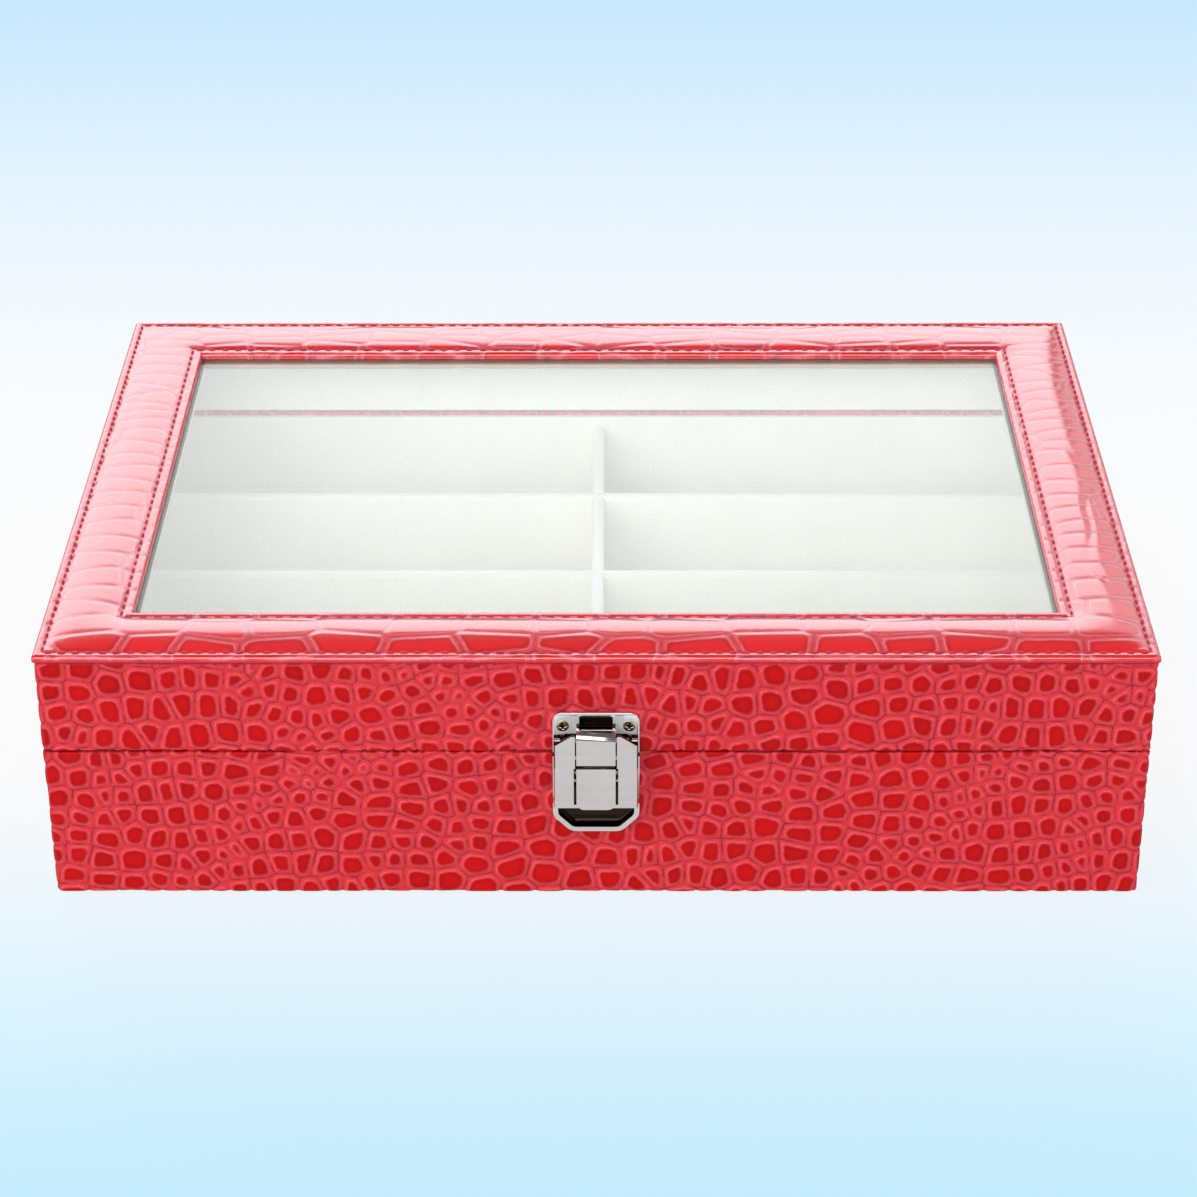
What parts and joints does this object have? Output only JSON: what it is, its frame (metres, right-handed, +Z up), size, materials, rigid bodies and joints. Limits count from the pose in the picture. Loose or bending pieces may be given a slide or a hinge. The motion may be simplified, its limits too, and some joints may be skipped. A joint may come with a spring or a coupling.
{
  "type": "glasses organizer box",
  "caption": "Low rectangular storage box with a hinged, padded and glazed lid, a velvet interior divided for folded glasses, and a drawbolt latch at the front.",
  "frame": {"origin": "middle of the underside, on the surface the box stands on", "axes": "+Z up, -Y towards the latch, +X along the long side to the right as seen from the latch"},
  "size_m": [0.3308, 0.2488, 0.0861],
  "materials": {
    "crocodile_leather": "glossy embossed",
    "fibreboard": "raw",
    "velvet": "velvet",
    "clear_glass": "polished",
    "beige_card": "matt paper",
    "polished_nickel": "polished",
    "hinge_nickel": "plated",
    "brass_screws": "plated",
    "pin_steel": "drawn",
    "underside_flock": "flocked",
    "foam": "matt"
  },
  "bodies": {
    "base": {"underside_sheet": "underside_flock", "base_floor_board": "fibreboard", "base_leather_wrap": "crocodile_leather", "floor_lining": "velvet", "centre_divider": "velvet", "cross_divider_1": "velvet", "cross_divider_2": "velvet", "cross_divider_3": "velvet", "hinge_base_screws": "brass_screws", "latch_base_plate": "polished_nickel", "latch_base_screws": "brass_screws", "lever_pin": "pin_steel", "base_front_board": "fibreboard", "base_lining_front": "velvet", "base_back_board": "fibreboard", "base_lining_back": "velvet", "base_left_board": "fibreboard", "base_lining_left": "velvet", "base_right_board": "fibreboard", "base_lining_right": "velvet", "left_hinge_base_leaf": "hinge_nickel", "left_hinge_pin": "pin_steel", "right_hinge_base_leaf": "hinge_nickel", "right_hinge_pin": "pin_steel"},
    "lid": {"lid_leather_wrap": "crocodile_leather", "lid_top_board": "fibreboard", "top_foam": "foam", "top_leather_cover": "crocodile_leather", "glass_pane": "clear_glass", "glass_retainer": "beige_card", "hinge_lid_screws": "brass_screws", "strike_plate": "polished_nickel", "strike_screws": "brass_screws", "left_hinge_lid_leaf": "hinge_nickel", "right_hinge_lid_leaf": "hinge_nickel", "lid_front_board": "fibreboard", "lid_back_board": "fibreboard", "lid_left_board": "fibreboard", "lid_right_board": "fibreboard", "lid_lining_front": "velvet", "lid_lining_back": "velvet", "lid_lining_left": "velvet", "lid_lining_right": "velvet"},
    "latch_lever": {"latch_lever": "polished_nickel", "hook_pin": "pin_steel"},
    "latch_hook": {"latch_hook": "polished_nickel"}
  },
  "joints": [
    {"name": "lid_hinge", "type": "hinge", "parent": "base", "child": "lid", "pos_m": [0, 0.1189, 0.0513], "axis": [-1, 0, 0], "range_deg": [0, 100]},
    {"name": "latch_lever_pivot", "type": "hinge", "parent": "base", "child": "latch_lever", "pos_m": [0, -0.1217, 0.0586], "axis": [-1, 0, 0], "range_deg": [0, 100]},
    {"name": "latch_hook_pivot", "type": "hinge", "parent": "latch_lever", "child": "latch_hook", "pos_m": [0, -0.1228, 0.0534], "axis": [-1, 0, 0], "range_deg": [-100, 0]}
  ],
  "couplings": [
    {"joint": "latch_hook_pivot", "follows": "latch_lever_pivot", "ratio": -1}
  ]
}
